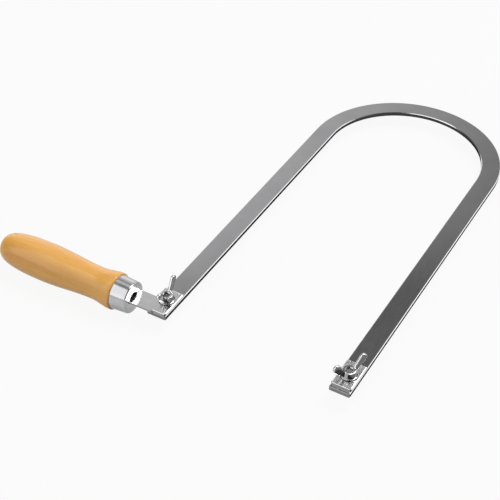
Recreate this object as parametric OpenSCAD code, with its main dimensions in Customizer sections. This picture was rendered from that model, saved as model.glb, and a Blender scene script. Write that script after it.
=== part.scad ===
// Fret saw: a U-shaped bow of flat strip steel with a turned wooden handle, and a
// screw-down blade clamp on each arm end. No blade is fitted.
// The origin is the middle of the blade line, on the bow's upper face, where the
// blade is clamped. +X runs along the blade to the tip clamp, +Y runs along the
// arms to the bend, and +Z points to the side that carries the wing nuts.

/* [Bow] */
// Outer width across the two arms
bow_w = 130; // [100:1:180]
// Depth from the arm ends to the outside of the bend
bow_depth = 278; // [180:1:360]
// Width of the steel strip
strip_w = 12.6; // [12:0.1:16]
// Thickness of the steel strip
strip_t = 3; // [2.8:0.1:5]
// Chamfer along the strip's four edges
strip_chamfer = 0.4; // [0.1:0.05:0.6]
// Radius of the corners at the arm ends
arm_corner_r = 0.8; // [0.5:0.1:3]
// Distance of the blade line from the arm ends
blade_setback = 3; // [2.5:0.1:5]

/* [Jaws] */
// Thickness of the jaws' sheet steel
sheet_t = 1.2; // [1:0.1:2]
// Height of the bent-down lips under a jaw's plate
lip_h = 0.35; // [0.2:0.05:1]
// Length of a jaw along its arm
jaw_len = 20.5; // [18:0.5:26]
// Distance of the handle jaw's front edge from the arm end
handle_jaw_setback = 0.2; // [0:0.1:2.5]
// Distance of the tip jaw's front edge from the arm end
tip_jaw_setback = 2; // [0:0.1:2.5]
// Outer radius of the jaw's bends
jaw_bend_r = 0.8; // [0.4:0.1:1.2]
// Side of the relief notch where two bends meet
relief = 1; // [0.8:0.1:2]
// Width of the heel tab at the jaw's rear edge
heel_w = 6; // [4:0.1:7]
// Width of the slit on each side of the heel tab
heel_slit_w = 0.9; // [0.5:0.1:1.2]
// Length of the slits beside the heel tab
heel_slit_len = 2.6; // [2:0.1:4]

/* [Tang] */
// Width of the tang between the jaw and the ferrule
tang_w = 12.3; // [10:0.1:13]
// Distance of the tang's front edge ahead of the arm end
tang_lead = 1.2; // [0:0.1:2]
// Bare length of tang between the bow and the ferrule
tang_free = 11.4; // [6:0.1:20]
// Length of the full-width tang inside the ferrule
tang_seat = 4; // [2:0.1:6]
// Width of the spike where it enters the wood
spike_w = 8; // [5:0.1:10]
// Width of the spike at its tip
spike_tip_w = 3; // [1:0.1:5]
// Length of the spike in the wood
spike_len = 38; // [20:1:50]

/* [Screws and washers] */
// Outside diameter of the screw's thread
screw_d = 5; // [4:0.1:5.5]
// Distance of the screw from the arm end
screw_setback = 11.7; // [10:0.1:13]
// Diameter of the countersunk head
head_d = 9.2; // [8:0.1:10]
// Height of the straight edge of the head
head_edge = 0.3; // [0.1:0.05:0.6]
// Width of the driver slot
driver_slot_w = 1.2; // [0.8:0.1:1.6]
// Depth of the driver slot
driver_slot_depth = 1.1; // [0.6:0.1:1.4]
// Depth of the screw's end below the top of the nut's hub
screw_recess = 1.2; // [0.5:0.1:2]
// Outside diameter of the washers
washer_d = 10; // [8:0.1:11]
// Thickness of the washers
washer_t = 0.8; // [0.5:0.1:1.6]

/* [Wing nuts] */
// Diameter of the hub at its base
hub_base_d = 8.4; // [7.5:0.1:9]
// Diameter of the hub at its top
hub_top_d = 7.6; // [7:0.1:8.5]
// Height of the hub
hub_h = 3.5; // [3:0.1:6]
// Span over both ears
ear_span = 22.2; // [20:0.1:28]
// Height of the nut from its base to the top of the ears
nut_h = 10.7; // [9:0.1:14]
// Radius of an ear's rounded tip
ear_tip_r = 2.4; // [1.8:0.1:3]
// Thickness of an ear
ear_t = 2; // [1.4:0.1:2.6]
// Turn of the handle-side nut's ears from the blade line, in degrees
handle_nut_turn = 96; // [0:1:180]
// Turn of the tip nut's ears from the blade line, in degrees
tip_nut_turn = 62; // [0:1:180]

/* [Ferrule] */
// Length of the ferrule
ferrule_len = 10.4; // [8:0.1:16]
// Diameter of the ferrule at its open rear end
ferrule_rear_d = 20.8; // [20:0.1:22]
// Diameter of the ferrule at its front face
ferrule_front_d = 19.6; // [19:0.1:20.8]
// Wall thickness of the ferrule
ferrule_wall = 0.8; // [0.5:0.1:1]
// Radius round the ferrule's front edge
ferrule_edge_r = 0.7; // [0.3:0.1:1]
// Diameter of the round hole in the front face
ferrule_hole_d = 7.6; // [6:0.1:9]

/* [Handle] */
// Length of the wood behind the ferrule
handle_len = 84; // [70:1:110]
// Largest diameter of the handle
belly_d = 23.7; // [23:0.1:30]
// Smallest diameter of the handle
neck_d = 19.8; // [18:0.1:21]
// Diameter of the flared front end beside the ferrule
flare_d = 22.8; // [22:0.1:25]
// Radius round the front end's edge
flare_edge_r = 0.9; // [0.4:0.1:1]
// Distance of the handle's axis from the tang's centre line
tang_offset = 1.4; // [0:0.1:2]
// Depth of the wood's end face behind the ferrule's front wall
spigot_gap = 1; // [0.3:0.1:2]

/* [Hidden] */
$fn = 64;
// Radial clearance of the nuts and washers on their screws
thread_fit = 0.05;
// Radial clearance of the screws in the jaws
slide_fit = 0.1;
// Clearance of the pieces that are driven or pressed together
press_gap = 0.02;
// Clearance all round the tang in the ferrule's slot
slot_gap = 0.3;
// Overrun of every cut
overrun = 1;

// Bow, seen from above
arm_x = (bow_w - strip_w) / 2;
arm_end_y = -blade_setback;
arm_len = bow_depth - bow_w / 2;
bend_y = arm_end_y + arm_len;

// Clamp stack, from the bow's upper face upwards
screw_y = arm_end_y + screw_setback;
jaw_h = lip_h + sheet_t;
handle_jaw_y = arm_end_y + handle_jaw_setback;
tip_jaw_y = arm_end_y + tip_jaw_setback;
washer_top_z = jaw_h + washer_t;
screw_top_z = washer_top_z + hub_h - screw_recess;
head_cone_h = (head_d - screw_d) / 2;
thread_chamfer_share = 0.1;
thread_chamfer = screw_d * thread_chamfer_share;

// Wing nut's ear, as two circles joined by their tangents
ear_tip = [ear_span / 2 - ear_tip_r, nut_h - ear_tip_r];
ear_root_share = 0.48;
ear_root_r = hub_h * ear_root_share;
ear_root = [hub_top_d / 2, hub_h / 2];

// Tang, ferrule and handle, from the bow to the rear end
tang_front_y = arm_end_y - tang_lead;
tang_mid_y = tang_front_y + tang_w / 2;
tang_mid_z = lip_h + sheet_t / 2;
tang_root_x = -bow_w / 2 + sheet_t;
ferrule_x = -bow_w / 2 - tang_free;
seam_x = ferrule_x - ferrule_len;
handle_rear_x = seam_x - handle_len;
handle_y = tang_mid_y - tang_offset;
handle_z = tang_mid_z;
spike_root_x = ferrule_x - tang_seat;

// Handle profile: stations as shares of its length, and the shape of its rear dome
belly_share = 0.39;
neck_share = 0.825;
flare_share = 0.985;
dome_length_power = 2.5;
dome_radius_power = 4.1;
dome_steps = 20;
ease_steps = 10;
edge_steps = 6;
belly_at = handle_len * belly_share;
neck_at = handle_len * neck_share;
flare_at = handle_len * flare_share;

// Rectangle from x0 to x1, standing on y = 0, with its upper corners rounded
// on the left, on the right or on both sides.
module rounded_top(x0, x1, h, r, round_left = true, round_right = true) {
    left = round_left ? x0 + r : x0;
    right = round_right ? x1 - r : x1;
    intersection() {
        translate([x0, 0]) square([x1 - x0, h]);
        union() {
            translate([x0, 0]) square([x1 - x0, h - r]);
            translate([left, 0]) square([right - left, h]);
            if (round_left) translate([left, h - r]) circle(r);
            if (round_right) translate([right, h - r]) circle(r);
        }
    }
}

// Box between two opposite corners
module box(low, high) {
    translate(low) cube(high - low);
}

// The strip's cross-section, with its upper face on y = 0.
module strip_section() {
    half = strip_w / 2;
    inset = half - strip_chamfer;
    polygon([
        [-inset, 0], [inset, 0], [half, -strip_chamfer], [half, strip_chamfer - strip_t],
        [inset, -strip_t], [-inset, -strip_t], [-half, strip_chamfer - strip_t], [-half, -strip_chamfer]
    ]);
}

// What is cut away outside one rounded corner of an arm end
module arm_corner_cut() {
    translate([0, 0, -strip_t - overrun])
        linear_extrude(strip_t + 2 * overrun)
            difference() {
                translate([-overrun, -overrun]) square(arm_corner_r + overrun);
                translate([arm_corner_r, arm_corner_r]) circle(arm_corner_r);
            }
}

module arm_end_cut(side) {
    for (corner = [-1, 1])
        translate([side * arm_x + corner * strip_w / 2, arm_end_y, 0])
            mirror([corner > 0 ? 1 : 0, 0, 0]) arm_corner_cut();
}

// Hole through an arm, countersunk from below for the screw's head
module arm_hole(side) {
    translate([side * arm_x, screw_y, -strip_t]) {
        translate([0, 0, -overrun]) cylinder(d = screw_d + 2 * press_gap, h = strip_t + 2 * overrun);
        translate([0, 0, -overrun]) cylinder(d = head_d + 2 * press_gap, h = head_edge + overrun);
        translate([0, 0, head_edge])
            cylinder(d1 = head_d + 2 * press_gap, d2 = screw_d + 2 * press_gap, h = head_cone_h);
    }
}

module bow_frame() {
    color("silver")
        difference() {
            union() {
                for (side = [-1, 1])
                    translate([side * arm_x, bend_y, 0])
                        rotate([90, 0, 0]) linear_extrude(arm_len) strip_section();
                translate([0, bend_y, 0])
                    rotate_extrude(angle = 180) translate([arm_x, 0]) strip_section();
            }
            for (side = [-1, 1]) {
                arm_hole(side);
                arm_end_cut(side);
            }
        }
}

// Countersunk screw with its head flush in the bow's underside
module clamp_screw(side) {
    shank_z = head_edge + head_cone_h;
    end_z = screw_top_z + strip_t;
    translate([side * arm_x, screw_y, -strip_t])
        difference() {
            union() {
                cylinder(d = head_d, h = head_edge);
                translate([0, 0, head_edge]) cylinder(d1 = head_d, d2 = screw_d, h = head_cone_h);
                translate([0, 0, shank_z]) cylinder(d = screw_d, h = end_z - thread_chamfer - shank_z);
                translate([0, 0, end_z - thread_chamfer])
                    cylinder(d1 = screw_d, d2 = screw_d - 2 * thread_chamfer, h = thread_chamfer);
            }
            box([-head_d / 2 - overrun, -driver_slot_w / 2, -overrun],
                [head_d / 2 + overrun, driver_slot_w / 2, driver_slot_depth]);
        }
}

module handle_screw() {
    color("gainsboro") clamp_screw(-1);
}

module tip_screw() {
    color("gainsboro") clamp_screw(1);
}

// Sheet-metal jaw across one arm: a flat plate whose front lip, side flanges and
// rear heel tab are bent down on to the bow. has_tang leaves out the bend on the
// handle's side.
module jaw_stamping(side, front_y, has_tang) {
    half = strip_w / 2;
    rear_y = front_y + jaw_len;
    heel_half = heel_w / 2;
    slit_end = heel_half + heel_slit_w;
    slit_front_y = rear_y - heel_slit_len;
    translate([side * arm_x, 0, 0])
        difference() {
            intersection() {
                translate([half, 0, 0])
                    rotate([90, 0, -90])
                        linear_extrude(strip_w)
                            rounded_top(-rear_y, -front_y, jaw_h, jaw_bend_r);
                translate([0, rear_y, 0])
                    rotate([90, 0, 0])
                        linear_extrude(jaw_len)
                            rounded_top(-half, half, jaw_h, jaw_bend_r, round_left = !has_tang);
            }
            // Hollow under the plate, inside the bent-down walls
            box([-half + sheet_t, front_y + sheet_t, -overrun],
                [half - sheet_t, rear_y - sheet_t, lip_h]);
            // Relief notches where the front lip meets the side flanges
            for (corner = [-1, 1])
                box([corner * half - (corner > 0 ? relief : overrun), front_y - overrun, -overrun],
                    [corner * half + (corner > 0 ? overrun : relief), front_y + relief,
                     has_tang && corner < 0 ? lip_h : jaw_h + overrun]);
            // Slits beside the heel tab, and the open ends of the plate outside them
            for (corner = [-1, 1]) {
                box([min(corner * heel_half, corner * slit_end), slit_front_y, -overrun],
                    [max(corner * heel_half, corner * slit_end), rear_y + overrun, jaw_h + overrun]);
                box([min(corner * heel_half, corner * (half - sheet_t)), slit_front_y, -overrun],
                    [max(corner * heel_half, corner * (half - sheet_t)), rear_y + overrun, lip_h]);
            }
            // Room under the tang
            if (has_tang)
                box([-half - overrun, front_y + sheet_t, -overrun],
                    [-half + sheet_t, tang_front_y + tang_w + relief, lip_h]);
            translate([0, screw_y, -overrun])
                cylinder(d = screw_d + 2 * slide_fit, h = jaw_h + 2 * overrun);
        }
}

// Outline of the tang, seen from above: full width into the ferrule, then a spike
module tang_outline(gap = 0) {
    front = tang_front_y - gap;
    rear = tang_front_y + tang_w + gap;
    spike_end_x = spike_root_x - spike_len - gap;
    polygon([
        [tang_root_x, front], [spike_root_x - gap, front],
        [spike_root_x - gap, handle_y - spike_w / 2 - gap],
        [spike_end_x, handle_y - spike_tip_w / 2 - gap],
        [spike_end_x, handle_y + spike_tip_w / 2 + gap],
        [spike_root_x - gap, handle_y + spike_w / 2 + gap],
        [spike_root_x - gap, rear], [tang_root_x, rear]
    ]);
}

module handle_jaw() {
    color("lightgray") {
        jaw_stamping(-1, handle_jaw_y, true);
        translate([0, 0, lip_h]) linear_extrude(sheet_t) tang_outline();
    }
}

module tip_jaw() {
    color("lightgray") jaw_stamping(1, tip_jaw_y, false);
}

module clamp_washer(side) {
    translate([side * arm_x, screw_y, jaw_h])
        difference() {
            cylinder(d = washer_d, h = washer_t);
            translate([0, 0, -overrun])
                cylinder(d = screw_d + 2 * slide_fit, h = washer_t + 2 * overrun);
        }
}

module handle_washer() {
    color("gainsboro") clamp_washer(-1);
}

module tip_washer() {
    color("gainsboro") clamp_washer(1);
}

// Two circles and the band between their outer tangents
module tangent_band(c1, r1, c2, r2) {
    step = c2 - c1;
    heading = atan2(step.y, step.x);
    spread = acos((r1 - r2) / norm(step));
    function rim(c, r, a) = c + r * [cos(a), sin(a)];
    translate(c1) circle(r1);
    translate(c2) circle(r2);
    polygon([
        rim(c1, r1, heading + spread), rim(c2, r2, heading + spread),
        rim(c2, r2, heading - spread), rim(c1, r1, heading - spread)
    ]);
}

// Cast wing nut: a tapered hub with two ears, bored for the screw
module clamp_wing_nut(side, turn) {
    translate([side * arm_x, screw_y, washer_top_z])
        rotate([0, 0, turn])
            difference() {
                union() {
                    cylinder(d1 = hub_base_d, d2 = hub_top_d, h = hub_h);
                    for (half_turn = [0, 180])
                        rotate([0, 0, half_turn])
                            translate([0, ear_t / 2, 0])
                                rotate([90, 0, 0])
                                    linear_extrude(ear_t)
                                        tangent_band(ear_root, ear_root_r, ear_tip, ear_tip_r);
                }
                translate([0, 0, -overrun])
                    cylinder(d = screw_d + 2 * thread_fit, h = nut_h + 2 * overrun);
            }
}

module handle_wing_nut() {
    color("silver") clamp_wing_nut(-1, handle_nut_turn);
}

module tip_wing_nut() {
    color("silver") clamp_wing_nut(1, tip_nut_turn);
}

// Turns a profile, drawn as radius and distance, about the handle's axis from x0
module turned(x0) {
    translate([x0, handle_y, handle_z])
        rotate([0, 90, 0])
            rotate_extrude() children();
}

// Slot for the tang through the ferrule or the wood
module tang_slot(gap) {
    translate([0, 0, lip_h - gap])
        linear_extrude(sheet_t + 2 * gap) tang_outline(gap);
}

module ferrule() {
    rear_r = ferrule_rear_d / 2;
    front_r = ferrule_front_d / 2;
    edge = [for (i = [0 : edge_steps])
        [front_r - ferrule_edge_r * (1 - cos(90 * i / edge_steps)),
         ferrule_len - ferrule_edge_r * (1 - sin(90 * i / edge_steps))]];
    color("darkgray")
        difference() {
            turned(seam_x)
                polygon(concat(
                    [[rear_r - ferrule_wall, 0], [rear_r, 0]],
                    edge,
                    [[0, ferrule_len], [0, ferrule_len - ferrule_wall],
                     [front_r - ferrule_wall, ferrule_len - ferrule_wall]]
                ));
            tang_slot(slot_gap);
            translate([ferrule_x - ferrule_wall - overrun, handle_y, handle_z])
                rotate([0, 90, 0])
                    cylinder(d = ferrule_hole_d, h = ferrule_wall + 2 * overrun);
        }
}

// Handle profile: half of a smooth step from 0 to 1, and the radius along the wood
function ease(share) = (1 - cos(180 * share)) / 2;
function dome_r(s) =
    belly_d / 2 * pow(1 - pow(1 - s / belly_at, dome_length_power), 1 / dome_radius_power);
function waist_r(share) = belly_d / 2 + (neck_d - belly_d) / 2 * ease(share);
function flare_r(share) = neck_d / 2 + (flare_d - neck_d) / 2 * ease(share);

module wood_handle() {
    spigot_rear_r = ferrule_rear_d / 2 - ferrule_wall - press_gap;
    spigot_front_r = ferrule_front_d / 2 - ferrule_wall - press_gap;
    spigot_end = handle_len + ferrule_len - ferrule_wall - spigot_gap;
    dome = [for (i = [0 : dome_steps])
        let (s = belly_at * pow(i / dome_steps, 2)) [dome_r(s), s]];
    waist = [for (i = [1 : ease_steps])
        [waist_r(i / ease_steps), belly_at + (neck_at - belly_at) * i / ease_steps]];
    flare = [for (i = [1 : ease_steps])
        [flare_r(i / ease_steps), neck_at + (flare_at - neck_at) * i / ease_steps]];
    edge = [for (i = [0 : edge_steps])
        [flare_d / 2 - flare_edge_r * (1 - cos(90 * i / edge_steps)),
         handle_len - flare_edge_r * (1 - sin(90 * i / edge_steps))]];
    color("burlywood")
        difference() {
            turned(handle_rear_x)
                polygon(concat(
                    dome, waist, flare, edge,
                    [[spigot_rear_r, handle_len], [spigot_front_r, spigot_end], [0, spigot_end]]
                ));
            tang_slot(press_gap);
        }
}

bow_frame();
handle_screw();
tip_screw();
handle_jaw();
tip_jaw();
handle_washer();
tip_washer();
handle_wing_nut();
tip_wing_nut();
ferrule();
wood_handle();
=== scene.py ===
import math
from contextlib import contextmanager
from functools import partial

import bmesh
import bpy
from mathutils import Matrix, Vector


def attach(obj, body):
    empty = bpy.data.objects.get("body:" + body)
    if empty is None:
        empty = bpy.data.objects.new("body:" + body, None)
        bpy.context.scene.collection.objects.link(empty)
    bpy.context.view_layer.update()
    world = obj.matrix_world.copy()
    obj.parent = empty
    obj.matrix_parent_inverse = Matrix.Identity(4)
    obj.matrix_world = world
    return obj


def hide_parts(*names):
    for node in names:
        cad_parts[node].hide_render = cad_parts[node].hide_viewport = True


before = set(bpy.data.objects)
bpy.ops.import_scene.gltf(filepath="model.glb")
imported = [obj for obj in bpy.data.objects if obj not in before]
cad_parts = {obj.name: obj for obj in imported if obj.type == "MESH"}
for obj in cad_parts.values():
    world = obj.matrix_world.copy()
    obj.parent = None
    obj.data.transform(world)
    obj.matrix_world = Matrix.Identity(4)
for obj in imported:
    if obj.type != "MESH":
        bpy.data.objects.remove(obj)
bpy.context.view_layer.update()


# Bow: one length of bright plated strip steel, bent edgewise round a former into a U. Its long
# edges are chamfered, the chamfers carry a lighter copy of the plating as a painted highlight,
# the sides carry a near-black copy as painted shade, and each arm end is drilled and
# countersunk from below for a clamp screw.
MM = 0.001
ARM_X = 58.7
ARM_END_Y = -3.0
BEND_Y = 210.0
STRIP_W = 12.6
STRIP_T = 3.0
STRIP_CHAMFER = 0.4
ARM_CORNER_R = 0.8
ARM_STEPS = 24
BEND_STEPS = 120
CORNER_STEPS = 5
BOW_CREASE = 30
SCREW_Y = 8.7
SCREW_R = 2.5
HEAD_R = 4.6
HEAD_EDGE = 0.3
SEAT_GAP = 0.02
SEAT_STEPS = 64
OVERRUN = 1.0
TOUCHING = 0.001
# Inset and depth of the strip's edge, from its upper face to its lower face
STRIP_EDGE = [(STRIP_CHAMFER, 0.0), (0.0, STRIP_CHAMFER),
              (0.0, STRIP_T - STRIP_CHAMFER), (STRIP_CHAMFER, STRIP_T)]
# The upright part of its normal from which a face counts as flat, and as a chamfer with its
# painted highlight; steeper faces get the sides' painted shade
FLAT_FACE = 0.9
CHAMFER_FACE = 0.2
# The lengthwise part of its normal below which a face belongs to an arm's end
END_FACE = -0.3


@contextmanager
def shell_of(mesh):
    """Opens a mesh's points, edges and faces for editing, then writes them back."""
    shell = bmesh.new()
    shell.from_mesh(mesh)
    yield shell
    shell.to_mesh(mesh)
    shell.free()


def solid(name, points, faces):
    """A closed mesh object from points in millimetres."""
    mesh = bpy.data.meshes.new(name)
    mesh.from_pydata([Vector(p) * MM for p in points], [], faces)
    with shell_of(mesh) as shell:
        bmesh.ops.remove_doubles(shell, verts=shell.verts, dist=TOUCHING * MM)
        bmesh.ops.recalc_face_normals(shell, faces=shell.faces)
    obj = bpy.data.objects.new(name, mesh)
    bpy.context.scene.collection.objects.link(obj)
    return obj


def settle(obj):
    """Turns a piece and its modifiers into a plain mesh."""
    bpy.context.view_layer.update()
    graph = bpy.context.evaluated_depsgraph_get()
    made = bpy.data.meshes.new_from_object(
        obj.evaluated_get(graph), preserve_all_data_layers=True, depsgraph=graph)
    obj.modifiers.clear()
    old, obj.data = obj.data, made
    bpy.data.meshes.remove(old)
    made.name = obj.name
    return obj


def machine(obj, tool, operation="DIFFERENCE"):
    """Cuts a tool's shape out of a piece, or joins it on."""
    cut = obj.modifiers.new("machine", "BOOLEAN")
    cut.operation = operation
    cut.solver = "EXACT"
    cut.object = tool
    settle(obj)
    bpy.data.objects.remove(tool)
    return obj


def crease(obj, angle):
    """Shades a piece smooth, apart from edges sharper than an angle in degrees."""
    obj.data.shade_smooth()
    obj.data.set_sharp_from_angle(angle=math.radians(angle))


def band(first, second, count):
    """The four-sided faces between two closed loops of points, from each loop's first point."""
    faces = []
    for k in range(count):
        m = (k + 1) % count
        faces.append((first + k, first + m, second + m, second + k))
    return faces


def turned(name, profile, steps, at, along_x=False, ring=False):
    """A lathe-turned solid from (distance along the axis, radius) pairs in millimetres."""
    points, faces = [], []
    for along, radius in profile:
        for k in range(steps):
            turn = 2 * math.pi * k / steps
            u, v = radius * math.cos(turn), radius * math.sin(turn)
            points.append(Vector(at) + Vector((along, u, v) if along_x else (u, v, along)))
    count = len(profile)
    for i in range(count if ring else count - 1):
        j = (i + 1) % count
        faces += band(i * steps, j * steps, steps)
    if not ring:
        for i in (0, count - 1):
            if profile[i][1] > 0:
                faces.append(tuple(i * steps + k for k in range(steps)))
    return solid(name, points, faces)


def arc(centre, radius, start, end, steps):
    """Points of a plan-view arc between two angles in degrees."""
    turns = [math.radians(start + (end - start) * k / steps) for k in range(steps + 1)]
    return [(centre[0] + radius * math.cos(t), centre[1] + radius * math.sin(t)) for t in turns]


def bow_sides(inset):
    """The strip's outer and inner edge in plan, both from the handle end to the tip end."""
    outer, inner = ARM_X + STRIP_W / 2 - inset, ARM_X - STRIP_W / 2 + inset
    corner = ARM_CORNER_R - inset
    deep = ARM_END_Y + ARM_CORNER_R
    out_c = ARM_X + STRIP_W / 2 - ARM_CORNER_R
    in_c = ARM_X - STRIP_W / 2 + ARM_CORNER_R
    arm = [deep + (BEND_Y - deep) * k / ARM_STEPS for k in range(1, ARM_STEPS)]
    sides = []
    # The angles are the ways that the handle arm's outer and inner side face
    for reach, centre, facing in ((outer, out_c, 180), (inner, in_c, 360)):
        handle_end = arc((-centre, deep), corner, 270, facing, CORNER_STEPS)
        tip_end = arc((centre, deep), corner, 540 - facing, 270, CORNER_STEPS)
        bend = arc((0, BEND_Y), reach, 180, 0, BEND_STEPS)
        sides.append(handle_end + [(-reach, y) for y in arm] + bend
                     + [(reach, y) for y in reversed(arm)] + tip_end)
    return sides


def bow_mesh():
    """The bent strip, with a seat for a screw in each arm."""
    points, faces = [], []
    for inset, depth in STRIP_EDGE:
        outer, inner = bow_sides(inset)
        points += [(x, y, -depth) for x, y in outer + inner[::-1]]
    last = len(STRIP_EDGE) - 1
    loop = len(points) // len(STRIP_EDGE)
    for i in range(last):
        faces += band(i * loop, (i + 1) * loop, loop)
    for base in (0, last * loop):
        for k in range(loop // 2 - 1):
            faces.append((base + k, base + k + 1, base + loop - 2 - k, base + loop - 1 - k))
    bow = solid("bow_strip", points, faces)
    cone = HEAD_R - SCREW_R
    wide, narrow = HEAD_R + SEAT_GAP, SCREW_R + SEAT_GAP
    seat = [(-STRIP_T - OVERRUN, wide), (HEAD_EDGE - STRIP_T, wide),
            (HEAD_EDGE + cone - STRIP_T, narrow), (OVERRUN, narrow)]
    for side in (-1, 1):
        machine(bow, turned("countersink", seat, SEAT_STEPS, (side * ARM_X, SCREW_Y, 0)))
    crease(bow, BOW_CREASE)
    return bow


def finish(name, colour, roughness, metallic=1.0, more=None):
    """A new material with its shader's plain values set."""
    material = bpy.data.materials.new(name)
    material.use_nodes = True
    material.diffuse_color = (*colour, 1)
    values = {"Base Color": (*colour, 1), "Metallic": metallic, "Roughness": roughness}
    values.update(more or {})
    shader = material.node_tree.nodes["Principled BSDF"]
    for socket, value in values.items():
        shader.inputs[socket].default_value = value
    return material


def feed(material, value, socket):
    """Links a node's value to one of the shader's sockets."""
    shader = material.node_tree.nodes["Principled BSDF"]
    material.node_tree.links.new(value, shader.inputs[socket])


def node(tree, kind, links=None, **values):
    """A new node, with its inputs linked to sockets or set to values."""
    made = tree.nodes.new(kind)
    for key, value in values.items():
        setattr(made, key, value)
    for key, value in (links or {}).items():
        if isinstance(value, bpy.types.NodeSocket):
            tree.links.new(value, made.inputs[key])
        else:
            made.inputs[key].default_value = value
    return made


def streaks(material, scale, detail, turn=(0, 0, 0), roughness=0.6):
    """Noise on the piece's own coordinates, stretched by scale per metre along each axis."""
    place = node(material.node_tree, "ShaderNodeTexCoord")
    mapped = node(material.node_tree, "ShaderNodeMapping",
                  {"Vector": place.outputs["Object"], "Scale": scale, "Rotation": turn})
    made = node(material.node_tree, "ShaderNodeTexNoise",
                {"Vector": mapped.outputs["Vector"], "Scale": 1.0, "Detail": detail,
                 "Roughness": roughness})
    return made.outputs["Fac"]


def spread(material, value, low, high, to_low, to_high, curve="LINEAR"):
    """Maps a value from one range to another, kept inside it."""
    made = node(material.node_tree, "ShaderNodeMapRange",
                {"Value": value, "From Min": low, "From Max": high,
                 "To Min": to_low, "To Max": to_high}, interpolation_type=curve)
    return made.outputs["Result"]


def blended(material, share, under, over, blend="MIX"):
    """A colour between two, each of them a plain colour or another node's."""
    under, over = [(*c, 1) if isinstance(c, tuple) else c for c in (under, over)]
    made = node(material.node_tree, "ShaderNodeMix", {"Factor": share, "A": under, "B": over},
                data_type="RGBA", blend_type=blend)
    return made.outputs["Result"]


def tinted(material, value, dark, light, between=(0.3, 0.7)):
    """A colour that goes from dark to light as a noise goes between two values."""
    return blended(material, spread(material, value, *between, 0, 1), dark, light)


def gloss(material, value, low, high, between=(0.3, 0.75)):
    """Varies the shader's roughness from low to high as a noise goes between two values."""
    feed(material, spread(material, value, *between, low, high), "Roughness")


def relief(material, value, strength, depth):
    """Bumps the shader's surface by a value, to a depth in millimetres."""
    made = node(material.node_tree, "ShaderNodeBump",
                {"Height": value, "Strength": strength, "Distance": depth * MM})
    feed(material, made.outputs["Normal"], "Normal")


def coat(obj, finishes, pick=lambda face: 0):
    """Gives a piece its finishes, and each face the number of its own."""
    obj.data.materials.clear()
    for material in finishes:
        obj.data.materials.append(material)
    for face in obj.data.polygons:
        face.material_index = pick(face)


plate = finish("polished_plate", (0.52, 0.52, 0.53), roughness=0.12)
cloud = streaks(plate, (40, 40, 40), detail=3)
scuff = streaks(plate, (900, 120, 900), detail=6, turn=(0, 0, 0.5), roughness=0.75)
feed(plate, tinted(plate, cloud, (0.49, 0.49, 0.50), (0.55, 0.55, 0.56)), "Base Color")
gloss(plate, scuff, 0.08, 0.13, between=(0.35, 0.75))
relief(plate, scuff, strength=0.02, depth=0.01)

# The chamfers: a lighter copy of the plating, a painted highlight along the strip's edges
chamfer_highlight = finish("chamfer_painted_highlight", (0.86, 0.86, 0.87), roughness=0.16)
wear_and_highlight = streaks(chamfer_highlight, (600, 600, 600), detail=4)
feed(chamfer_highlight, tinted(chamfer_highlight, wear_and_highlight, (0.78, 0.78, 0.79), (0.92, 0.92, 0.93)), "Base Color")
gloss(chamfer_highlight, wear_and_highlight, 0.12, 0.22, between=(0.3, 0.7))

# The sides: a near-black copy of the plating, painted shade in place of their dark reflection
edge = finish("side_painted_shade", (0.06, 0.06, 0.062), roughness=0.3,
              more={"Specular Tint": (0.33, 0.33, 0.33, 1)})
drawn = streaks(edge, (700, 700, 4000), detail=5, roughness=0.7)
feed(edge, tinted(edge, drawn, (0.045, 0.045, 0.047), (0.075, 0.075, 0.078)), "Base Color")
gloss(edge, drawn, 0.24, 0.38, between=(0.3, 0.7))
relief(edge, drawn, strength=0.2, depth=0.03)

sawn = finish("sawn_end", (0.27, 0.27, 0.275), roughness=0.3)
cut_marks = streaks(sawn, (2500, 2500, 400), detail=5, roughness=0.7)
feed(sawn, tinted(sawn, cut_marks, (0.22, 0.22, 0.225), (0.32, 0.32, 0.325)), "Base Color")
relief(sawn, cut_marks, strength=0.2, depth=0.04)


def bow_finish(face):
    """The number of a face's finish: plate 0, chamfer with painted highlight 1, side with painted shade
    2, sawn end 3.
    """
    upright = abs(face.normal.z)
    if upright > FLAT_FACE:
        return 0
    if face.center.y < (ARM_END_Y + ARM_CORNER_R) * MM and face.normal.y < END_FACE:
        return 3
    return 1 if upright > CHAMFER_FACE else 2


bow = bow_mesh()
coat(bow, (plate, chamfer_highlight, edge, sawn), bow_finish)
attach(bow, "bow")
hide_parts("bow_frame")


# Clamp screws: M5 countersunk steel screws, put in from below with their slotted heads flush in
# the bow's underside. Their heads are plated bright, and their threads are rolled and dull.
SCREW_TOP = 4.65
PITCH = 0.8
CORE_R = 2.08
RUN_OUT = 0.42
THREAD_STEPS = 48
ROWS_PER_PITCH = 12
# The thread's flank: how fast it rises, and how much of it the flat root takes away
FLANK_RISE = 1.5
ROOT_FLAT = 0.28
THREAD_WELD = 0.002
THREAD_CREASE = 38
SLOT_W = 1.2
SLOT_DEPTH = 1.1
SLOT_REACH = 8.0
HEAD_EASE = 0.12


def maths(tree, operation, a, b=0.0, c=0.0):
    """The result of a maths node on up to three values."""
    return node(tree, "ShaderNodeMath", {0: a, 1: b, 2: c}, operation=operation).outputs[0]


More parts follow.
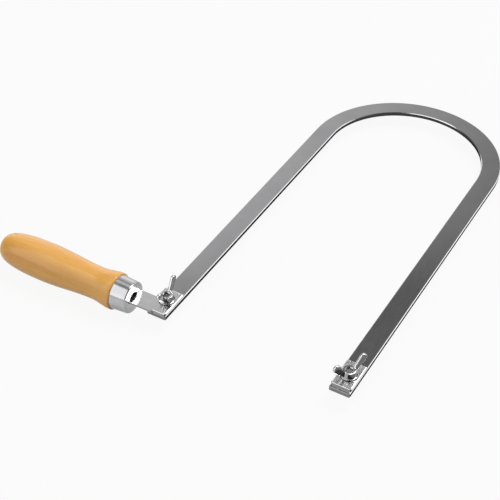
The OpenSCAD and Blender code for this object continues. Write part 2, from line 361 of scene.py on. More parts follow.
def rolled_thread():
    """Geometry Nodes tree: a helical thread that closes on to the mesh it is given."""
    tree = bpy.data.node_groups.new("rolled_thread", "GeometryNodeTree")
    socket = tree.interface.new_socket
    socket("Geometry", in_out="INPUT", socket_type="NodeSocketGeometry")
    for size in ("Core Radius", "Crest Radius", "Pitch", "Start", "Length", "Run-out",
                 "Place X", "Place Y"):
        socket(size, in_out="INPUT", socket_type="NodeSocketFloat")
    socket("Rows", in_out="INPUT", socket_type="NodeSocketInt")
    socket("Material", in_out="INPUT", socket_type="NodeSocketMaterial")
    socket("Geometry", in_out="OUTPUT", socket_type="NodeSocketGeometry")
    given = tree.nodes.new("NodeGroupInput").outputs
    taken = tree.nodes.new("NodeGroupOutput").inputs
    core, start, length = given["Core Radius"], given["Start"], given["Length"]
    place_x, place_y = given["Place X"], given["Place Y"]
    calc = partial(maths, tree)

    grid = node(tree, "GeometryNodeMeshGrid",
                {"Size X": 1.0, "Size Y": 1.0, "Vertices X": THREAD_STEPS + 1,
                 "Vertices Y": given["Rows"]})
    spot = node(tree, "GeometryNodeInputPosition")
    flat = node(tree, "ShaderNodeSeparateXYZ", {0: spot.outputs[0]}).outputs
    around = calc("ADD", flat["X"], 0.5)
    up = calc("MULTIPLY_ADD", calc("ADD", flat["Y"], 0.5), length, start)
    phase = calc("FRACT", calc("SUBTRACT", calc("DIVIDE", up, given["Pitch"]), around))
    flank = calc("SUBTRACT", 1.0, calc("ABSOLUTE", calc("MULTIPLY_ADD", phase, 2.0, -1.0)))
    crest = calc("MULTIPLY_ADD", flank, FLANK_RISE, -ROOT_FLAT)
    crest = calc("MINIMUM", calc("MAXIMUM", crest, 0.0), 1.0)
    end = calc("ADD", start, length)
    from_end = calc("MINIMUM", calc("SUBTRACT", end, up), calc("SUBTRACT", up, start))
    fade = calc("MINIMUM", calc("DIVIDE", from_end, given["Run-out"]), 1.0)
    rise = calc("SUBTRACT", given["Crest Radius"], core)
    height = calc("MINIMUM", crest, calc("MAXIMUM", fade, 0.0))
    radius = calc("MULTIPLY_ADD", height, rise, core)
    angle = calc("MULTIPLY", around, 2 * math.pi)
    helix = node(tree, "ShaderNodeCombineXYZ",
                 {"X": calc("MULTIPLY_ADD", calc("COSINE", angle), radius, place_x),
                  "Y": calc("MULTIPLY_ADD", calc("SINE", angle), radius, place_y), "Z": up})
    wound = node(tree, "GeometryNodeSetPosition",
                 {"Geometry": grid.outputs["Mesh"], "Position": helix.outputs[0]})
    disc = node(tree, "GeometryNodeMeshCircle", {"Vertices": THREAD_STEPS, "Radius": core},
                fill_type="NGON")
    top = node(tree, "ShaderNodeCombineXYZ", {"X": place_x, "Y": place_y, "Z": end})
    lid = node(tree, "GeometryNodeTransform",
               {"Geometry": disc.outputs["Mesh"], "Translation": top.outputs[0]})
    join = tree.nodes.new("GeometryNodeJoinGeometry")
    for part in (given["Geometry"], wound.outputs[0], lid.outputs[0]):
        tree.links.new(part, join.inputs[0])
    whole = node(tree, "GeometryNodeRealizeInstances", {"Geometry": join.outputs[0]})
    welded = node(tree, "GeometryNodeMergeByDistance",
                  {"Geometry": whole.outputs[0], "Distance": THREAD_WELD * MM})
    coated = node(tree, "GeometryNodeSetMaterial",
                  {"Geometry": welded.outputs[0], "Material": given["Material"]})
    tree.links.new(coated.outputs[0], taken["Geometry"])
    return tree


THREAD = rolled_thread()


def open_top(obj):
    """Takes off the upper lid of a piece that is turned with a thread's number of steps."""
    with shell_of(obj.data) as shell:
        lids = [face for face in shell.faces if len(face.verts) == THREAD_STEPS]
        top = max(lids, key=lambda face: face.calc_center_median().z)
        bmesh.ops.delete(shell, geom=[top], context="FACES_ONLY")


def thread_on(obj, side, start, length, material, gap=0.0):
    """Winds a thread on to the open end of a piece and closes it."""
    wind = obj.modifiers.new("thread", "NODES")
    wind.node_group = THREAD
    values = {"Core Radius": (CORE_R + gap) * MM, "Crest Radius": (SCREW_R + gap) * MM,
              "Pitch": PITCH * MM, "Start": start * MM, "Length": length * MM,
              "Run-out": RUN_OUT * MM, "Place X": side * ARM_X * MM, "Place Y": SCREW_Y * MM,
              "Rows": int(length / PITCH * ROWS_PER_PITCH) + 1, "Material": material}
    for item in THREAD.interface.items_tree:
        if item.in_out == "INPUT" and item.name in values:
            wind[item.identifier] = values[item.name]
    settle(obj)
    with shell_of(obj.data) as shell:
        bmesh.ops.recalc_face_normals(shell, faces=shell.faces)


def block(name, corner, opposite):
    """A box between two opposite corners in millimetres."""
    x, y, z = [sorted(pair) for pair in zip(corner, opposite)]
    points = [(x[i], y[j], z[k]) for i in (0, 1) for j in (0, 1) for k in (0, 1)]
    faces = [(0, 1, 3, 2), (4, 6, 7, 5), (0, 4, 5, 1), (2, 3, 7, 6), (0, 2, 6, 4), (1, 5, 7, 3)]
    return solid(name, points, faces)


bright = finish("bright_plating", (0.76, 0.76, 0.77), roughness=0.1)
mottle = streaks(bright, (700, 700, 700), detail=5, roughness=0.65)
feed(bright, tinted(bright, mottle, (0.70, 0.70, 0.71), (0.80, 0.80, 0.81)), "Base Color")
gloss(bright, mottle, 0.07, 0.16)
relief(bright, mottle, strength=0.12, depth=0.03)

dull = finish("dull_thread", (0.16, 0.16, 0.163), roughness=0.34)
rolled = streaks(dull, (1500, 1500, 1500), detail=5, roughness=0.7)
feed(dull, tinted(dull, rolled, (0.12, 0.12, 0.122), (0.21, 0.21, 0.214)), "Base Color")
relief(dull, rolled, strength=0.2, depth=0.03)

head_top = HEAD_EDGE + HEAD_R - SCREW_R - STRIP_T
neck = head_top + (SCREW_R - CORE_R)
head = [(-STRIP_T, HEAD_R - HEAD_EASE), (HEAD_EASE - STRIP_T, HEAD_R),
        (HEAD_EDGE - STRIP_T, HEAD_R), (neck, CORE_R)]
for side, name in ((-1, "handle_screw"), (1, "tip_screw")):
    screw = turned(name + "_threaded", head, THREAD_STEPS, (side * ARM_X, SCREW_Y, 0))
    open_top(screw)
    thread_on(screw, side, neck, SCREW_TOP - neck, dull)
    machine(screw, block("slot", (side * ARM_X - SLOT_REACH, SCREW_Y - SLOT_W / 2, -STRIP_T - OVERRUN),
                         (side * ARM_X + SLOT_REACH, SCREW_Y + SLOT_W / 2, SLOT_DEPTH - STRIP_T)))
    coat(screw, (bright, dull), lambda face: 1 if face.center.z > neck * MM else 0)
    crease(screw, THREAD_CREASE)
    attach(screw, "bow")
    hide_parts(name)


# Jaws: sheet-steel stampings with their edges bent down on to the bow, in satin plating. The
# handle's jaw runs on sideways as a flat tang, which is driven into the wood as a spike.
SHEET_T = 1.2
LIP_H = 0.35
JAW_H = SHEET_T + LIP_H
JAW_LEN = 20.5
HANDLE_JAW_FRONT_Y = -2.8
TIP_JAW_FRONT_Y = -1.0
JAW_BEND_R = 0.8
JAW_NIP_R = 0.4
JAW_HEEL_R = 1.2
FLANGE_STEPS = 6
BEND_END_STEPS = 5
# Share of a jaw's height above which an edge is an upper one, before and after the flanges are bent
UPPER_EDGE = 0.9
BENT_EDGE = 0.3
RELIEF = 1.0
HEEL_HALF = 3.0
SLIT_W = 0.9
SLIT_LEN = 2.6
SLIDE_FIT = 0.1
HOLE_STEPS = 48
CUT_WELD = 0.01
JAW_EASE = 0.05
JAW_EASE_ANGLE = 40
EASE_CREASE = 20
LIP_FACE = -0.9
TANG_FRONT_Y = -4.2
TANG_W = 12.3
TANG_LAP = 3 * SHEET_T
HANDLE_Y = 0.55
HANDLE_Z = 0.95
FERRULE_X = -76.4
TANG_DEPTH = 4.0
SPIKE_LEN = 38.0
SPIKE_X = FERRULE_X - TANG_DEPTH
SPIKE_END_X = SPIKE_X - SPIKE_LEN
SPIKE_W = 8.0
SPIKE_TIP_W = 3.0


def weld(obj, reach):
    """Merges points that a cut has left closer together than reach, in millimetres."""
    with shell_of(obj.data) as shell:
        bmesh.ops.remove_doubles(shell, verts=shell.verts, dist=reach * MM)
        bmesh.ops.dissolve_degenerate(shell, edges=shell.edges, dist=reach * MM)
    return obj


def ease(obj, width, segments=2, angle=35, clamp=True):
    """Rounds a piece's sharp edges, and keeps its flat faces flat in the light."""
    if width:
        bevel = obj.modifiers.new("ease", "BEVEL")
        bevel.width = width * MM
        bevel.use_clamp_overlap = clamp
        bevel.segments = segments
        bevel.limit_method = "ANGLE"
        bevel.angle_limit = math.radians(angle)
        settle(obj)
        crease(obj, EASE_CREASE)
    else:
        obj.data.shade_smooth()
    weigh = obj.modifiers.new("weigh", "WEIGHTED_NORMAL")
    weigh.keep_sharp = True
    return settle(obj)


def prism(name, near, far):
    """A solid between two like outlines."""
    count = len(near)
    ends = [tuple(range(count)), tuple(range(2 * count - 1, count - 1, -1))]
    return solid(name, near + far, ends + band(0, count, count))


def slab(name, outline, low, high):
    """A flat-sided solid from a plan-view outline between two heights."""
    return prism(name, [(x, y, low) for x, y in outline], [(x, y, high) for x, y in outline])


def tang_outline(root_x, gap=0.0):
    """The tang in plan: full width into the ferrule, then a tapered spike."""
    front, rear = TANG_FRONT_Y - gap, TANG_FRONT_Y + TANG_W + gap
    wide, tip = SPIKE_W / 2 + gap, SPIKE_TIP_W / 2 + gap
    shoulder, end = SPIKE_X - gap, SPIKE_END_X - gap
    return [(root_x, front), (shoulder, front), (shoulder, HANDLE_Y - wide), (end, HANDLE_Y - tip),
            (end, HANDLE_Y + tip), (shoulder, HANDLE_Y + wide), (shoulder, rear), (root_x, rear)]


def bend_down(shell, edges, radius, steps):
    """Rounds a blank's edges to the radius of a bend."""
    bmesh.ops.bevel(shell, geom=edges, offset=radius * MM, segments=steps, profile=0.5,
                    affect="EDGES", clamp_overlap=False)


def jaw_mesh(name, side, front, has_tang):
    """A jaw's blank with its edges bent, hollowed, slit and drilled, and with its tang if it has one."""
    half = STRIP_W / 2
    mid, rear = side * ARM_X, front + JAW_LEN
    jaw = block(name, (mid - half, front, 0), (mid + half, rear, JAW_H))
    with shell_of(jaw.data) as shell:
        sides = [e for e in shell.edges if e.verts[0].co.x == e.verts[1].co.x
                 and min(v.co.z for v in e.verts) > UPPER_EDGE * JAW_H * MM
                 and not (has_tang and e.verts[0].co.x < mid * MM)]
        bend_down(shell, sides, JAW_BEND_R, FLANGE_STEPS)
        for end, radius in ((front, JAW_NIP_R), (rear, JAW_HEEL_R)):
            across = [e for e in shell.edges
                      if all(abs(v.co.y - end * MM) < CUT_WELD * MM for v in e.verts)
                      and min(v.co.z for v in e.verts) > BENT_EDGE * JAW_H * MM
                      and e.verts[0].co.x != e.verts[1].co.x]
            bend_down(shell, across, radius, BEND_END_STEPS)
    if has_tang:
        tang = slab("tang", tang_outline(mid - half + TANG_LAP), LIP_H, JAW_H)
        machine(jaw, tang, "UNION")

    def cut(tool, corner, opposite):
        machine(jaw, block(tool, corner, opposite))

    floor_z, over_z, past_y = -OVERRUN, JAW_H + OVERRUN, rear + OVERRUN
    slit_y = rear - SLIT_LEN
    cut("hollow", (mid - half + SHEET_T, front + SHEET_T, floor_z),
        (mid + half - SHEET_T, rear - SHEET_T, LIP_H))
    for hand in (-1, 1):
        height = LIP_H if has_tang and hand < 0 else over_z
        heel_x = mid + hand * HEEL_HALF
        cut("relief", (mid + hand * (half + OVERRUN), front - OVERRUN, floor_z),
            (mid + hand * (half - RELIEF), front + RELIEF, height))
        cut("slit", (heel_x, slit_y, floor_z), (mid + hand * (HEEL_HALF + SLIT_W), past_y, over_z))
        cut("open_end", (heel_x, slit_y, floor_z), (mid + hand * (half - SHEET_T), past_y, LIP_H))
    if has_tang:
        cut("tang_room", (mid - half - OVERRUN, front + SHEET_T, floor_z),
            (mid - half + SHEET_T, TANG_FRONT_Y + TANG_W + RELIEF, LIP_H))
    hole = [(floor_z, SCREW_R + SLIDE_FIT), (over_z, SCREW_R + SLIDE_FIT)]
    machine(jaw, turned("hole", hole, HOLE_STEPS, (mid, SCREW_Y, 0)))
    return ease(weld(jaw, CUT_WELD), JAW_EASE, angle=JAW_EASE_ANGLE, clamp=False)


satin = finish("satin_sheet", (0.80, 0.80, 0.81), roughness=0.15)
brushed = streaks(satin, (2600, 300, 1200), detail=5, roughness=0.7)
cloud = streaks(satin, (220, 220, 220), detail=3)
feed(satin, tinted(satin, cloud, (0.76, 0.76, 0.77), (0.85, 0.85, 0.86)), "Base Color")
gloss(satin, brushed, 0.15, 0.23)
relief(satin, brushed, strength=0.05, depth=0.015)

# The front lip: a darker copy of the satin plating, painted shade on its forward faces
shaded_lip = finish("lip_painted_shade", (0.42, 0.42, 0.425), roughness=0.28)
nipped = streaks(shaded_lip, (3000, 900, 3000), detail=5, roughness=0.7)
feed(shaded_lip, tinted(shaded_lip, nipped, (0.35, 0.35, 0.355), (0.48, 0.48, 0.485)), "Base Color")
relief(shaded_lip, nipped, strength=0.15, depth=0.03)

for side, name, body, front in ((-1, "handle_jaw", "handle_unit", HANDLE_JAW_FRONT_Y),
                                (1, "tip_jaw", "tip_jaw", TIP_JAW_FRONT_Y)):
    jaw = jaw_mesh(name + "_stamping", side, front, name == "handle_jaw")
    # Forward-facing faces at the front lip take the painted shade
    lip_y = (front + SHEET_T) * MM
    coat(jaw, (satin, shaded_lip),
         lambda face: 1 if face.center.y < lip_y and face.normal.y < LIP_FACE else 0)
    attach(jaw, body)
    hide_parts(name)


# Washers: plain punched steel washers under the wing nuts, plated like the screws' heads. Their
# upper edges are rounded by the punch, and only the screw holds them in place.
WASHER_R = 5.0
WASHER_T = 0.8
WASHER_BORE_R = 2.6
WASHER_TOP = JAW_H + WASHER_T
WASHER_STEPS = 72
FOOT_EASE = 0.06
BORE_EASE = 0.1
SIDE_FACE = 0.2
# Drop and inset of the rounded upper edge, from the side to the top
PUNCHED_EDGE = [(0.26, 0.0), (0.1, 0.07), (0.0, 0.26)]

rim = [(JAW_H, WASHER_BORE_R + BORE_EASE), (JAW_H, WASHER_R - FOOT_EASE), (JAW_H + FOOT_EASE, WASHER_R)]
rim += [(WASHER_TOP - drop, WASHER_R - inset) for drop, inset in PUNCHED_EDGE]
rim += [(WASHER_TOP, WASHER_BORE_R + BORE_EASE), (WASHER_TOP - BORE_EASE, WASHER_BORE_R),
        (JAW_H + BORE_EASE, WASHER_BORE_R)]
for side, name in ((-1, "handle_washer"), (1, "tip_washer")):
    washer = turned(name + "_ring", rim, WASHER_STEPS, (side * ARM_X, SCREW_Y, 0), ring=True)
    ease(washer, 0)
    # The upright rim takes the sides' near-black finish as painted shade; the rest is plated bright
    coat(washer, (bright, edge), lambda face: 1 if abs(face.normal.z) < SIDE_FACE else 0)
    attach(washer, name)
    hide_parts(name)


# Wing nuts: cast in one with two ears, tapped M5 and plated. The casting leaves a generous
# fillet where each ear grows out of the hub, and tumbling has brightened the sharp edges; the ears'
# rims carry a painted highlight, and the panels and hub flanks are painted dark as shade.
HUB_BASE_R = 4.2
HUB_TOP_R = 3.8
HUB_H = 3.5
HUB_STEPS = 96
NUT_H = 10.7
EAR_SPAN = 22.2
EAR_TIP_R = 2.4
EAR_T = 2.0
EAR_ROOT_R = 1.68
EAR_ROUND = 0.75
EAR_ROUND_STEPS = 4
EAR_ROUND_ANGLE = 60
EAR_TIP_STEPS = 24
EAR_ROOT_STEPS = 16
HANDLE_NUT_TURN = 96
TIP_NUT_TURN = 62
CAST_GRAIN = 0.16
CAST_SOFTENING = 0.5
CAST_PASSES = 7
NUT_GAP = 0.06
NUT_CREASE = 40
# The tap: how far it starts below the nut, its stub there, and its length past the hub's height
TAP_LEAD = 0.5
TAP_STUB = 0.01
TAP_PAST = 1.5
# Rubbed edges: the curvature per millimetre at which they start and at which they are full
RUB_START = 0.25
RUB_FULL = 1.0
# Painted rim highlight: how square a normal is to an ear's panel where it starts, and the change to full
RIM_START = 0.92
RIM_CHANGE = 0.3
# The hub's flank: its share of the rims' painted highlight, its reach past the hub, and its most upright
# normal
FLANK_HIGHLIGHT = 0.35
FLANK_REACH = 0.1
FLANK_FACE = 0.4


def ear_outline():
    """One ear in its own plane: a root circle and a tip circle joined by their tangents."""
    root = Vector((HUB_TOP_R, HUB_H / 2))
    tip = Vector((EAR_SPAN / 2 - EAR_TIP_R, NUT_H - EAR_TIP_R))
    step = tip - root
    heading = math.degrees(math.atan2(step.y, step.x))
    open_by = math.degrees(math.acos((EAR_ROOT_R - EAR_TIP_R) / step.length))
    return (arc(tip, EAR_TIP_R, heading - open_by, heading + open_by, EAR_TIP_STEPS)
            + arc(root, EAR_ROOT_R, heading + open_by, heading + 360 - open_by, EAR_ROOT_STEPS))


cast_plating = finish("cast_plating", (0.5, 0.5, 0.51), roughness=0.12)
mottle = streaks(cast_plating, (500, 500, 500), detail=5, roughness=0.65)
# The panels' dark tone is painted shade; the attribute brings in bright plating for edge wear and a
# painted rim highlight
wear_and_highlight = node(cast_plating.node_tree, "ShaderNodeAttribute", attribute_name="wear_and_highlight").outputs["Fac"]
shaded_panel_tone = tinted(cast_plating, mottle, (0.15, 0.15, 0.153), (0.22, 0.22, 0.225))
feed(cast_plating, blended(cast_plating, wear_and_highlight, shaded_panel_tone, (0.74, 0.74, 0.75)), "Base Color")
gloss(cast_plating, mottle, 0.08, 0.18)
relief(cast_plating, mottle, strength=0.12, depth=0.03)


def nut_mesh(name, side, turn):
    """A hub and two ears, run together as a casting does, then tapped."""
    at = Vector((side * ARM_X, SCREW_Y, WASHER_TOP))
    hub = [(0, 0), (0, HUB_BASE_R), (HUB_H, HUB_TOP_R), (HUB_H, 0)]
    nut = turned(name, hub, HUB_STEPS, at)
    for half_turn in (0, 180):
        spin = Matrix.Rotation(math.radians(turn + half_turn), 3, "Z")
        near, far = [[at + spin @ Vector((u, y, v)) for u, v in ear_outline()]
                     for y in (-EAR_T / 2, EAR_T / 2)]
        ear = ease(prism("ear", near, far), EAR_ROUND, EAR_ROUND_STEPS, EAR_ROUND_ANGLE)
        machine(nut, ear, "UNION")
    cast = nut.modifiers.new("cast", "REMESH")
    cast.mode = "VOXEL"
    cast.voxel_size = CAST_GRAIN * MM
    soft = nut.modifiers.new("soft", "SMOOTH")
    soft.factor = CAST_SOFTENING
    soft.iterations = CAST_PASSES
    settle(nut)
    base = at.z - TAP_LEAD
    stub = [(base - TAP_STUB, CORE_R + NUT_GAP), (base, CORE_R + NUT_GAP)]
    tap = turned("tap", stub, THREAD_STEPS, (side * ARM_X, SCREW_Y, 0))
    open_top(tap)
    thread_on(tap, side, base, HUB_H + TAP_PAST, cast_plating, NUT_GAP)
    weld(machine(nut, tap), CUT_WELD)
    crease(nut, NUT_CREASE)
    return nut


def share_of(value, full):
    """How far a value has gone from 0 to its full size, kept between 0 and 1."""
    return min(max(value / full, 0.0), 1.0)


def mark_wear_and_highlight(obj, side, turn):
    """Marks each point's share of bright plating: tumbling wear on sharp edges, and a painted highlight
    on rims by their facing; 0 on panels and flanks, 1 on rims and edges.
    """
    axis = Vector((side * ARM_X, SCREW_Y)) * MM
    panel = Vector((math.sin(math.radians(turn)), -math.cos(math.radians(turn)), 0))
    shell = bmesh.new()
    shell.from_mesh(obj.data)
    wear_and_highlight_shares = []
    for point in shell.verts:
        near = [e.other_vert(point).co for e in point.link_edges]
        reach = sum((co - point.co).length for co in near) / len(near)
        hollow = (sum(near, Vector()) / len(near) - point.co).dot(point.normal)
        bend = -hollow / (reach * reach) * MM
        worn_edge = share_of(bend - RUB_START, RUB_FULL - RUB_START)
        rim_highlight = share_of(RIM_START - abs(point.normal.dot(panel)), RIM_CHANGE)
        near_axis = (point.co.xy - axis).length < (HUB_BASE_R + FLANK_REACH) * MM
        on_flank = near_axis and abs(point.normal.z) < FLANK_FACE
        wear_and_highlight_shares.append(max(worn_edge, rim_highlight * (FLANK_HIGHLIGHT if on_flank else 1.0)))
    shell.free()
    mark = obj.data.attributes.new("wear_and_highlight", "FLOAT", "POINT")
    mark.data.foreach_set("value", wear_and_highlight_shares)


for side, name, turn, body in ((-1, "handle_wing_nut", HANDLE_NUT_TURN, "handle_nut"),
                               (1, "tip_wing_nut", TIP_NUT_TURN, "tip_nut")):
    nut = nut_mesh(name + "_casting", side, turn)
    mark_wear_and_highlight(nut, side, turn)
    coat(nut, (cast_plating,))
    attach(nut, body)
    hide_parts(name)


# Ferrule: a cup drawn from thin sheet steel and zinc plated, pressed over the handle's front
# end. Its closed front has a slot and a round hole for the tang.
FERRULE_LEN = 10.4
SEAM_X = FERRULE_X - FERRULE_LEN
FERRULE_REAR_R = 10.4
FERRULE_FRONT_R = 9.8
FERRULE_WALL = 0.8
FERRULE_EDGE_R = 0.7
FERRULE_HOLE_R = 3.8
FERRULE_STEPS = 128
FERRULE_EASE = 0.08
FERRULE_EASE_ANGLE = 50
DRAFT_GAP = 0.01
CUP_STEPS = 8
SLOT_GAP = 0.3
BORE_REACH = 2.0
# Size of the rounded rim and of the hole's rounded edge, and the middle point of each rounding
MOUTH_EASE = 0.2
MOUTH_EASE_MID = 0.06
HOLE_EASE = 0.12
HOLE_EASE_MID = 0.035


def rounded_end(along, radius, edge_r, steps):
    """A lathe profile's rounded corner, from the side round to the end face."""
    turns = [math.pi / 2 * k / steps for k in range(steps + 1)]
    return [(along - edge_r * (1 - math.sin(t)), radius - edge_r * (1 - math.cos(t))) for t in turns]


cup = [(0.0, FERRULE_REAR_R - FERRULE_WALL), (0.0, FERRULE_REAR_R - MOUTH_EASE),
       (MOUTH_EASE_MID, FERRULE_REAR_R - MOUTH_EASE_MID), (MOUTH_EASE, FERRULE_REAR_R)]
for k in range(1, CUP_STEPS + 1):
    share = k / CUP_STEPS
    cup.append((MOUTH_EASE + (FERRULE_LEN - FERRULE_EDGE_R - MOUTH_EASE) * share,
                FERRULE_REAR_R + (FERRULE_FRONT_R - FERRULE_REAR_R) * share))
cup += rounded_end(FERRULE_LEN, FERRULE_FRONT_R, FERRULE_EDGE_R, CUP_STEPS)[1:]
cup += [(FERRULE_LEN, FERRULE_HOLE_R + HOLE_EASE),
        (FERRULE_LEN - HOLE_EASE_MID, FERRULE_HOLE_R + HOLE_EASE_MID),
        (FERRULE_LEN - HOLE_EASE, FERRULE_HOLE_R), (FERRULE_LEN - FERRULE_WALL, FERRULE_HOLE_R),
        (FERRULE_LEN - FERRULE_WALL, FERRULE_FRONT_R - FERRULE_WALL - DRAFT_GAP)]
ferrule = turned("ferrule_cup", cup, FERRULE_STEPS, (SEAM_X, HANDLE_Y, HANDLE_Z), along_x=True, ring=True)
slot_plan = tang_outline(FERRULE_X + BORE_REACH, SLOT_GAP)
machine(ferrule, slab("slot", slot_plan, LIP_H - SLOT_GAP, JAW_H + SLOT_GAP))
ease(ferrule, FERRULE_EASE, angle=FERRULE_EASE_ANGLE)

zinc = finish("zinc_plating", (0.61, 0.61, 0.62), roughness=0.26)
drawn = streaks(zinc, (120, 1800, 1800), detail=5, roughness=0.65)
cloud = streaks(zinc, (160, 160, 160), detail=3)
feed(zinc, tinted(zinc, cloud, (0.57, 0.57, 0.58), (0.65, 0.65, 0.66)), "Base Color")
gloss(zinc, drawn, 0.14, 0.23)
relief(zinc, drawn, strength=0.12, depth=0.03)
coat(ferrule, (zinc,))
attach(ferrule, "handle_unit")
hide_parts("ferrule")


# Handle: turned from one piece of straight-grained hardwood, with a swelling belly, a narrow
# neck and a flare behind the ferrule, and finished in several coats of clear lacquer.
HANDLE_LEN = 84.0
REAR_X = SEAM_X - HANDLE_LEN
BELLY_R = 11.85
NECK_R = 9.9
FLARE_R = 11.4
FLARE_EDGE_R = 0.9
BELLY_AT = HANDLE_LEN * 0.39
NECK_AT = HANDLE_LEN * 0.825
FLARE_AT = HANDLE_LEN * 0.985
DOME_LENGTH_POWER = 2.5
DOME_RADIUS_POWER = 4.1
DOME_CROWDING = 2.4
DOME_STEPS = 48
WAIST_STEPS = 32
FLARE_STEPS = 16
FLARE_EDGE_STEPS = 6
HANDLE_STEPS = 160
HANDLE_CREASE = 40
# The spigot inside the ferrule: where it ends, its gaps to the cup, and its bevelled end
SPIGOT_CLEAR = 1.0
SPIGOT_END = HANDLE_LEN + FERRULE_LEN - FERRULE_WALL - SPIGOT_CLEAR
SPIGOT_REAR_GAP = 0.02
SPIGOT_FRONT_GAP = 0.05
SPIGOT_BEVEL = 0.3
SPIGOT_END_GAP = 0.35
SPIKE_GAP = 0.02
SHADED_WOOD_FROM = 0.05


def swell(share):
    """A smooth step from 0 to 1."""
    return (1 - math.cos(math.pi * share)) / 2


wood_profile = []
for k in range(DOME_STEPS + 1):
    s = BELLY_AT * (k / DOME_STEPS) ** DOME_CROWDING
    radius = BELLY_R * (1 - (1 - s / BELLY_AT) ** DOME_LENGTH_POWER) ** (1 / DOME_RADIUS_POWER)
    wood_profile.append((s, radius))
waist = (BELLY_AT, NECK_AT, BELLY_R, NECK_R, WAIST_STEPS)
flare = (NECK_AT, FLARE_AT, NECK_R, FLARE_R, FLARE_STEPS)
for start, end, r0, r1, steps in (waist, flare):
    wood_profile += [(start + (end - start) * k / steps, r0 + (r1 - r0) * swell(k / steps))
                     for k in range(1, steps + 1)]
wood_profile += rounded_end(HANDLE_LEN, FLARE_R, FLARE_EDGE_R, FLARE_EDGE_STEPS)
wood_profile += [(HANDLE_LEN, FERRULE_REAR_R - FERRULE_WALL - SPIGOT_REAR_GAP),
                 (SPIGOT_END - SPIGOT_BEVEL, FERRULE_FRONT_R - FERRULE_WALL - SPIGOT_FRONT_GAP),
                 (SPIGOT_END, FERRULE_FRONT_R - FERRULE_WALL - SPIGOT_END_GAP)]
wood = turned("turned_handle", wood_profile, HANDLE_STEPS, (REAR_X, HANDLE_Y, HANDLE_Z), along_x=True)
bore_plan = tang_outline(FERRULE_X + BORE_REACH, SPIKE_GAP)
machine(wood, slab("tang_bore", bore_plan, LIP_H - SPIKE_GAP, JAW_H + SPIKE_GAP))
crease(wood, HANDLE_CREASE)

lacquered = finish("lacquered_wood", (0.80, 0.41, 0.095), roughness=0.42, metallic=0.0,
                   more={"Specular IOR Level": 0.1, "Coat Weight": 1.0, "Coat Roughness": 0.18})
fibre = streaks(lacquered, (55, 2400, 2400), detail=6, turn=(0, 0, 0.03), roughness=0.7)
bands = streaks(lacquered, (14, 260, 120), detail=3, turn=(0.4, 0.02, 0.05), roughness=0.5)
patch = streaks(lacquered, (30, 60, 60), detail=2)
ground = tinted(lacquered, bands, (0.76, 0.375, 0.080), (0.86, 0.47, 0.115))
fibre_share = spread(lacquered, fibre, 0.42, 0.75, 0.0, 0.55)
grain = blended(lacquered, fibre_share, ground, (0.80, 0.66, 0.46), "MULTIPLY")
patch_share = spread(lacquered, patch, 0.35, 0.7, 0.0, 0.4)
mild = blended(lacquered, patch_share, grain, (0.93, 0.86, 0.76), "MULTIPLY")
feed(lacquered, mild, "Base Color")
gloss(lacquered, fibre, 0.38, 0.5, between=(0.3, 0.7))
relief(lacquered, fibre, strength=0.06, depth=0.05)

# Inside the ferrule: near-black end grain, painted shade for the hole
shaded_end_grain = finish("end_grain_painted_shade", (0.05, 0.028, 0.013), roughness=0.85, metallic=0.0)
pores = streaks(shaded_end_grain, (2200, 2200, 2200), detail=5, roughness=0.7)
shaded_pore_tone = tinted(shaded_end_grain, pores, (0.025, 0.014, 0.007), (0.085, 0.05, 0.025), between=(0.35, 0.65))
feed(shaded_end_grain, shaded_pore_tone, "Base Color")
relief(shaded_end_grain, pores, strength=0.4, depth=0.1)

# Faces inside the ferrule get the painted shade
coat(wood, (lacquered, shaded_end_grain), lambda face: 1 if face.center.x > (SEAM_X + SHADED_WOOD_FROM) * MM else 0)
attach(wood, "handle_unit")
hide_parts("wood_handle")


# Studio: a plain white floor, a soft sky with a bright back wall and a darker ceiling, and
# two soft lamps, one at the front left and one high at the back. The floor is clear from below.
FLOOR_Z = -0.011
FLOOR_REACH = 100.0
PAPER_GREY = (0.52, 0.52, 0.52, 1)
WHITE = (1, 1, 1, 1)
# How much of the floor glows: as the camera sees it, and as metal and glass show it
GLOW_SEEN = 0.92
GLOW_MIRRORED = 0.4
LAMP_AIM = Vector((-0.02, 0.05, 0))
EYE_LENS = 84.4432
EYE_SENSOR = 36.0
EYE_AT = (0.22737269, -0.40025988, 0.46512058)
EYE_RIGHT = Vector((0.8662784714, 0.4994641838, 0.0098559185))
EYE_DOWN = Vector((0.3312231315, -0.5594858242, -0.7597807906))
EYE_FORWARD = Vector((-0.3739690457, 0.6614462500, -0.6501046155))

floor_mesh = bpy.data.meshes.new("floor")
corners = [(x * FLOOR_REACH, y * FLOOR_REACH, FLOOR_Z)
           for x, y in ((-1, -1), (1, -1), (1, 1), (-1, 1))]
floor_mesh.from_pydata(corners, [], [(0, 1, 2, 3)])
floor = bpy.data.objects.new("floor", floor_mesh)
bpy.context.scene.collection.objects.link(floor)
paper = bpy.data.materials.new("white_paper")
paper.use_nodes = True
sheet = paper.node_tree
sheet.nodes.clear()
ray = node(sheet, "ShaderNodeLightPath").outputs
mirrored = maths(sheet, "MAXIMUM", ray["Is Glossy Ray"], ray["Is Transmission Ray"])
mirrored = maths(sheet, "MULTIPLY", mirrored, GLOW_MIRRORED)
glowing = maths(sheet, "MULTIPLY_ADD", ray["Is Camera Ray"], GLOW_SEEN, mirrored)
matt = node(sheet, "ShaderNodeBsdfDiffuse", {"Color": PAPER_GREY})
glow = node(sheet, "ShaderNodeEmission", {"Color": WHITE, "Strength": 1.0})
lit_side = node(sheet, "ShaderNodeMixShader", {0: glowing, 1: matt.outputs[0], 2: glow.outputs[0]})
below = node(sheet, "ShaderNodeNewGeometry").outputs["Backfacing"]
clear = node(sheet, "ShaderNodeBsdfTransparent")
sides = node(sheet, "ShaderNodeMixShader", {0: below, 1: lit_side.outputs[0], 2: clear.outputs[0]})
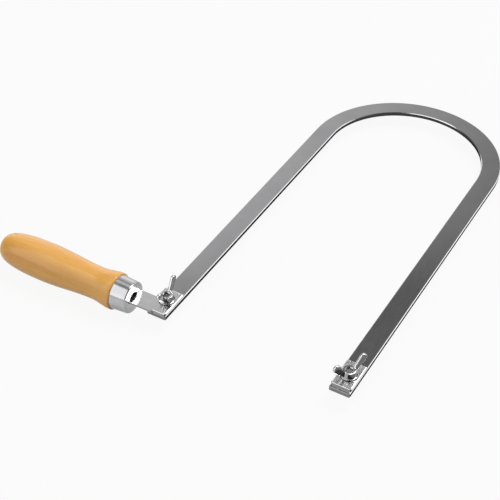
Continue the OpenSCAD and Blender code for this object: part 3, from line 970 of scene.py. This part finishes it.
node(sheet, "ShaderNodeOutputMaterial", {"Surface": sides.outputs[0]})
floor_mesh.materials.append(paper)

sky = bpy.data.worlds.new("studio")
bpy.context.scene.world = sky
sky.use_nodes = True
sky.node_tree.nodes.clear()
way = node(sky.node_tree, "ShaderNodeTexCoord").outputs["Generated"]
axes = node(sky.node_tree, "ShaderNodeSeparateXYZ", {0: way}).outputs
east, north, tall = axes["X"], axes["Y"], axes["Z"]
calc = partial(maths, sky.node_tree)
slope = partial(spread, sky)
soft_step = partial(spread, sky, curve="SMOOTHSTEP")


def round_patch(toward, rim, core, outside, inside):
    """Light that changes round one direction, between the cosines at its rim and at its core."""
    made = node(sky.node_tree, "ShaderNodeVectorMath", {0: way, 1: toward}, operation="DOT_PRODUCT")
    return soft_step(made.outputs["Value"], rim, core, outside, inside)


wall = calc("MULTIPLY", slope(east, low=-0.42, high=-0.2, to_low=0.75, to_high=0.3),
            slope(tall, low=0.45, high=0.7, to_low=1.15, to_high=0.85))
wall = calc("MULTIPLY", wall, soft_step(north, low=-0.35, high=0.2, to_low=0.28, to_high=1.0))
wall = calc("MULTIPLY", wall, soft_step(tall, low=0.25, high=0.5, to_low=1.4, to_high=1.0))
ceiling = soft_step(east, low=-0.5, high=-0.28, to_low=0.5, to_high=0.165)
above = round_patch((0.300, -0.237, 0.924), rim=0.31, core=0.381, outside=0.0, inside=1.0)
room = calc("ADD", calc("MULTIPLY", wall, calc("SUBTRACT", 1.0, above)),
            calc("MULTIPLY", ceiling, above))
doorway = round_patch((-0.8905, -0.0311, 0.454), rim=0.788, core=0.94, outside=1.0, inside=0.12)
shade = round_patch((0.2408, -0.5960, 0.7660), rim=0.643, core=0.906, outside=1.0, inside=0.3)
window = round_patch((0.7178, 0.6463, 0.2588), rim=0.809, core=0.927, outside=0.0, inside=1.15)
skylight = round_patch((0.440, 0.584, 0.682), rim=0.966, core=0.988, outside=0.0, inside=1.8)
cove = round_patch((-0.4815, 0.337, 0.809), rim=0.961, core=0.990, outside=0.0, inside=0.8)
sweep = soft_step(tall, low=0.03, high=0.08, to_low=0.97, to_high=0.0)
light = calc("MULTIPLY", calc("MULTIPLY", room, doorway), shade)
for lit in (window, skylight, cove, sweep):
    light = calc("MAXIMUM", light, lit)
glow = node(sky.node_tree, "ShaderNodeBackground", {"Color": WHITE, "Strength": light})
node(sky.node_tree, "ShaderNodeOutputWorld", {"Surface": glow.outputs[0]})

for name, azimuth, elevation, distance, width, height, power in (
        ("front_softbox", 243, 40, 1.3, 1.5, 1.6, 8.6),
        ("top_softbox", 72, 64, 1.3, 0.7, 0.7, 11.4)):
    data = bpy.data.lights.new(name, "AREA")
    data.shape = "RECTANGLE"
    data.size, data.size_y = width, height
    data.energy = power
    lamp = bpy.data.objects.new(name, data)
    a, e = math.radians(azimuth), math.radians(elevation)
    toward = Vector((math.cos(a) * math.cos(e), math.sin(a) * math.cos(e), math.sin(e)))
    turn = toward.to_track_quat("Z", "Y").to_matrix().to_4x4()
    lamp.matrix_world = Matrix.Translation(toward * distance + LAMP_AIM) @ turn
    bpy.context.scene.collection.objects.link(lamp)

eye = bpy.data.cameras.new("photo_eye")
eye.sensor_width = EYE_SENSOR
eye.lens = EYE_LENS
camera = bpy.data.objects.new("photo_eye", eye)
turn = Matrix((EYE_RIGHT, -EYE_DOWN, -EYE_FORWARD)).transposed().to_4x4()
camera.matrix_world = Matrix.Translation(EYE_AT) @ turn
bpy.context.scene.collection.objects.link(camera)
bpy.context.scene.camera = camera
bpy.context.scene.view_settings.view_transform = "Standard"
